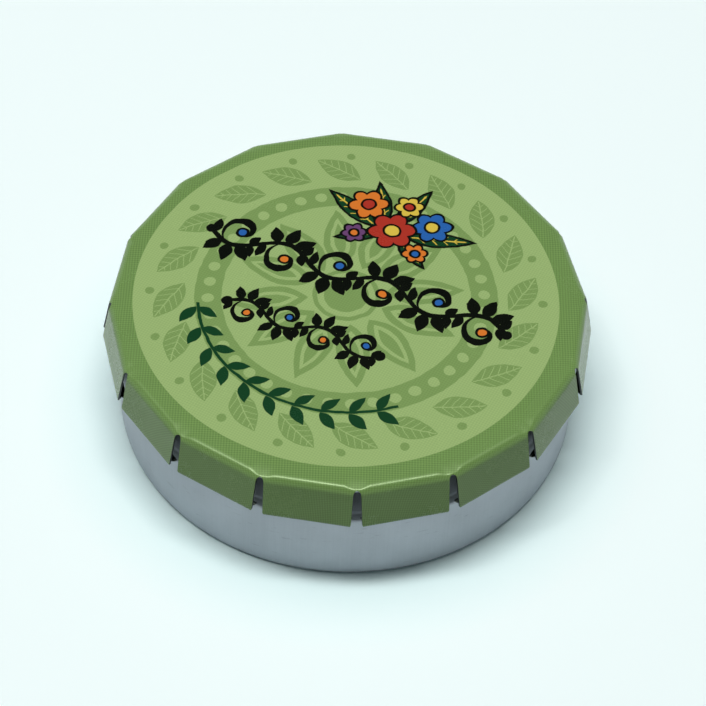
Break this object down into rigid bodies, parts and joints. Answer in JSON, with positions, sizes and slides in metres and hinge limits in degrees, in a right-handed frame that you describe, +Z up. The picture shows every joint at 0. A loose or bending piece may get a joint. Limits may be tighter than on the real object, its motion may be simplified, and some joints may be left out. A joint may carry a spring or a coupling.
{
  "type": "mint tin",
  "caption": "Round snap-lid pocket tin: a drawn base with a rolled rim, and a lid with a snap panel and a skirt slit into tabs.",
  "frame": {"origin": "middle of the underside, on the plane that the tin stands on", "axes": "+Z up along the tin's axis, through the lid; a slot of the lid's skirt faces -Y and another +X"},
  "size_m": [0.0626, 0.0626, 0.0185],
  "materials": {
    "printed_tinplate": "satin green print",
    "bare_tinplate": "satin tinplate"
  },
  "bodies": {
    "base": {"tin_base": "bare_tinplate"},
    "lid": {"lid_rim": "printed_tinplate"},
    "panel": {"lid_panel": "printed_tinplate"},
    "tab_01": {"lid_tab_01": "printed_tinplate"},
    "tab_02": {"lid_tab_02": "printed_tinplate"},
    "tab_03": {"lid_tab_03": "printed_tinplate"},
    "tab_04": {"lid_tab_04": "printed_tinplate"},
    "tab_05": {"lid_tab_05": "printed_tinplate"},
    "tab_06": {"lid_tab_06": "printed_tinplate"},
    "tab_07": {"lid_tab_07": "printed_tinplate"},
    "tab_08": {"lid_tab_08": "printed_tinplate"},
    "tab_09": {"lid_tab_09": "printed_tinplate"},
    "tab_10": {"lid_tab_10": "printed_tinplate"},
    "tab_11": {"lid_tab_11": "printed_tinplate"},
    "tab_12": {"lid_tab_12": "printed_tinplate"},
    "tab_13": {"lid_tab_13": "printed_tinplate"},
    "tab_14": {"lid_tab_14": "printed_tinplate"},
    "tab_15": {"lid_tab_15": "printed_tinplate"},
    "tab_16": {"lid_tab_16": "printed_tinplate"}
  },
  "joints": [
    {"name": "lid_lift", "type": "slide", "parent": "base", "child": "lid", "axis": [0, 0, 1], "range_m": [0, 0.03]},
    {"name": "panel_press", "type": "slide", "parent": "lid", "child": "panel", "axis": [0, 0, -1], "range_m": [0, 0.0012]},
    {"name": "tab_01_flare", "type": "hinge", "parent": "lid", "child": "tab_01", "pos_m": [0.02915, 0.0058, 0.01728], "axis": [0.1951, -0.9808, 0], "range_deg": [0, 5]},
    {"name": "tab_02_flare", "type": "hinge", "parent": "lid", "child": "tab_02", "pos_m": [0.02471, 0.01651, 0.01728], "axis": [0.5556, -0.8315, 0], "range_deg": [0, 5]},
    {"name": "tab_03_flare", "type": "hinge", "parent": "lid", "child": "tab_03", "pos_m": [0.01651, 0.02471, 0.01728], "axis": [0.8315, -0.5556, 0], "range_deg": [0, 5]},
    {"name": "tab_04_flare", "type": "hinge", "parent": "lid", "child": "tab_04", "pos_m": [0.0058, 0.02915, 0.01728], "axis": [0.9808, -0.1951, 0], "range_deg": [0, 5]},
    {"name": "tab_05_flare", "type": "hinge", "parent": "lid", "child": "tab_05", "pos_m": [-0.0058, 0.02915, 0.01728], "axis": [0.9808, 0.1951, 0], "range_deg": [0, 5]},
    {"name": "tab_06_flare", "type": "hinge", "parent": "lid", "child": "tab_06", "pos_m": [-0.01651, 0.02471, 0.01728], "axis": [0.8315, 0.5556, 0], "range_deg": [0, 5]},
    {"name": "tab_07_flare", "type": "hinge", "parent": "lid", "child": "tab_07", "pos_m": [-0.02471, 0.01651, 0.01728], "axis": [0.5556, 0.8315, 0], "range_deg": [0, 5]},
    {"name": "tab_08_flare", "type": "hinge", "parent": "lid", "child": "tab_08", "pos_m": [-0.02915, 0.0058, 0.01728], "axis": [0.1951, 0.9808, 0], "range_deg": [0, 5]},
    {"name": "tab_09_flare", "type": "hinge", "parent": "lid", "child": "tab_09", "pos_m": [-0.02915, -0.0058, 0.01728], "axis": [-0.1951, 0.9808, 0], "range_deg": [0, 5]},
    {"name": "tab_10_flare", "type": "hinge", "parent": "lid", "child": "tab_10", "pos_m": [-0.02471, -0.01651, 0.01728], "axis": [-0.5556, 0.8315, 0], "range_deg": [0, 5]},
    {"name": "tab_11_flare", "type": "hinge", "parent": "lid", "child": "tab_11", "pos_m": [-0.01651, -0.02471, 0.01728], "axis": [-0.8315, 0.5556, 0], "range_deg": [0, 5]},
    {"name": "tab_12_flare", "type": "hinge", "parent": "lid", "child": "tab_12", "pos_m": [-0.0058, -0.02915, 0.01728], "axis": [-0.9808, 0.1951, 0], "range_deg": [0, 5]},
    {"name": "tab_13_flare", "type": "hinge", "parent": "lid", "child": "tab_13", "pos_m": [0.0058, -0.02915, 0.01728], "axis": [-0.9808, -0.1951, 0], "range_deg": [0, 5]},
    {"name": "tab_14_flare", "type": "hinge", "parent": "lid", "child": "tab_14", "pos_m": [0.01651, -0.02471, 0.01728], "axis": [-0.8315, -0.5556, 0], "range_deg": [0, 5]},
    {"name": "tab_15_flare", "type": "hinge", "parent": "lid", "child": "tab_15", "pos_m": [0.02471, -0.01651, 0.01728], "axis": [-0.5556, -0.8315, 0], "range_deg": [0, 5]},
    {"name": "tab_16_flare", "type": "hinge", "parent": "lid", "child": "tab_16", "pos_m": [0.02915, -0.0058, 0.01728], "axis": [-0.1951, -0.9808, 0], "range_deg": [0, 5]}
  ],
  "couplings": [
    {"joint": "tab_01_flare", "follows": "panel_press", "rad_per_m": 72.722},
    {"joint": "tab_02_flare", "follows": "panel_press", "rad_per_m": 72.722},
    {"joint": "tab_03_flare", "follows": "panel_press", "rad_per_m": 72.722},
    {"joint": "tab_04_flare", "follows": "panel_press", "rad_per_m": 72.722},
    {"joint": "tab_05_flare", "follows": "panel_press", "rad_per_m": 72.722},
    {"joint": "tab_06_flare", "follows": "panel_press", "rad_per_m": 72.722},
    {"joint": "tab_07_flare", "follows": "panel_press", "rad_per_m": 72.722},
    {"joint": "tab_08_flare", "follows": "panel_press", "rad_per_m": 72.722},
    {"joint": "tab_09_flare", "follows": "panel_press", "rad_per_m": 72.722},
    {"joint": "tab_10_flare", "follows": "panel_press", "rad_per_m": 72.722},
    {"joint": "tab_11_flare", "follows": "panel_press", "rad_per_m": 72.722},
    {"joint": "tab_12_flare", "follows": "panel_press", "rad_per_m": 72.722},
    {"joint": "tab_13_flare", "follows": "panel_press", "rad_per_m": 72.722},
    {"joint": "tab_14_flare", "follows": "panel_press", "rad_per_m": 72.722},
    {"joint": "tab_15_flare", "follows": "panel_press", "rad_per_m": 72.722},
    {"joint": "tab_16_flare", "follows": "panel_press", "rad_per_m": 72.722}
  ]
}
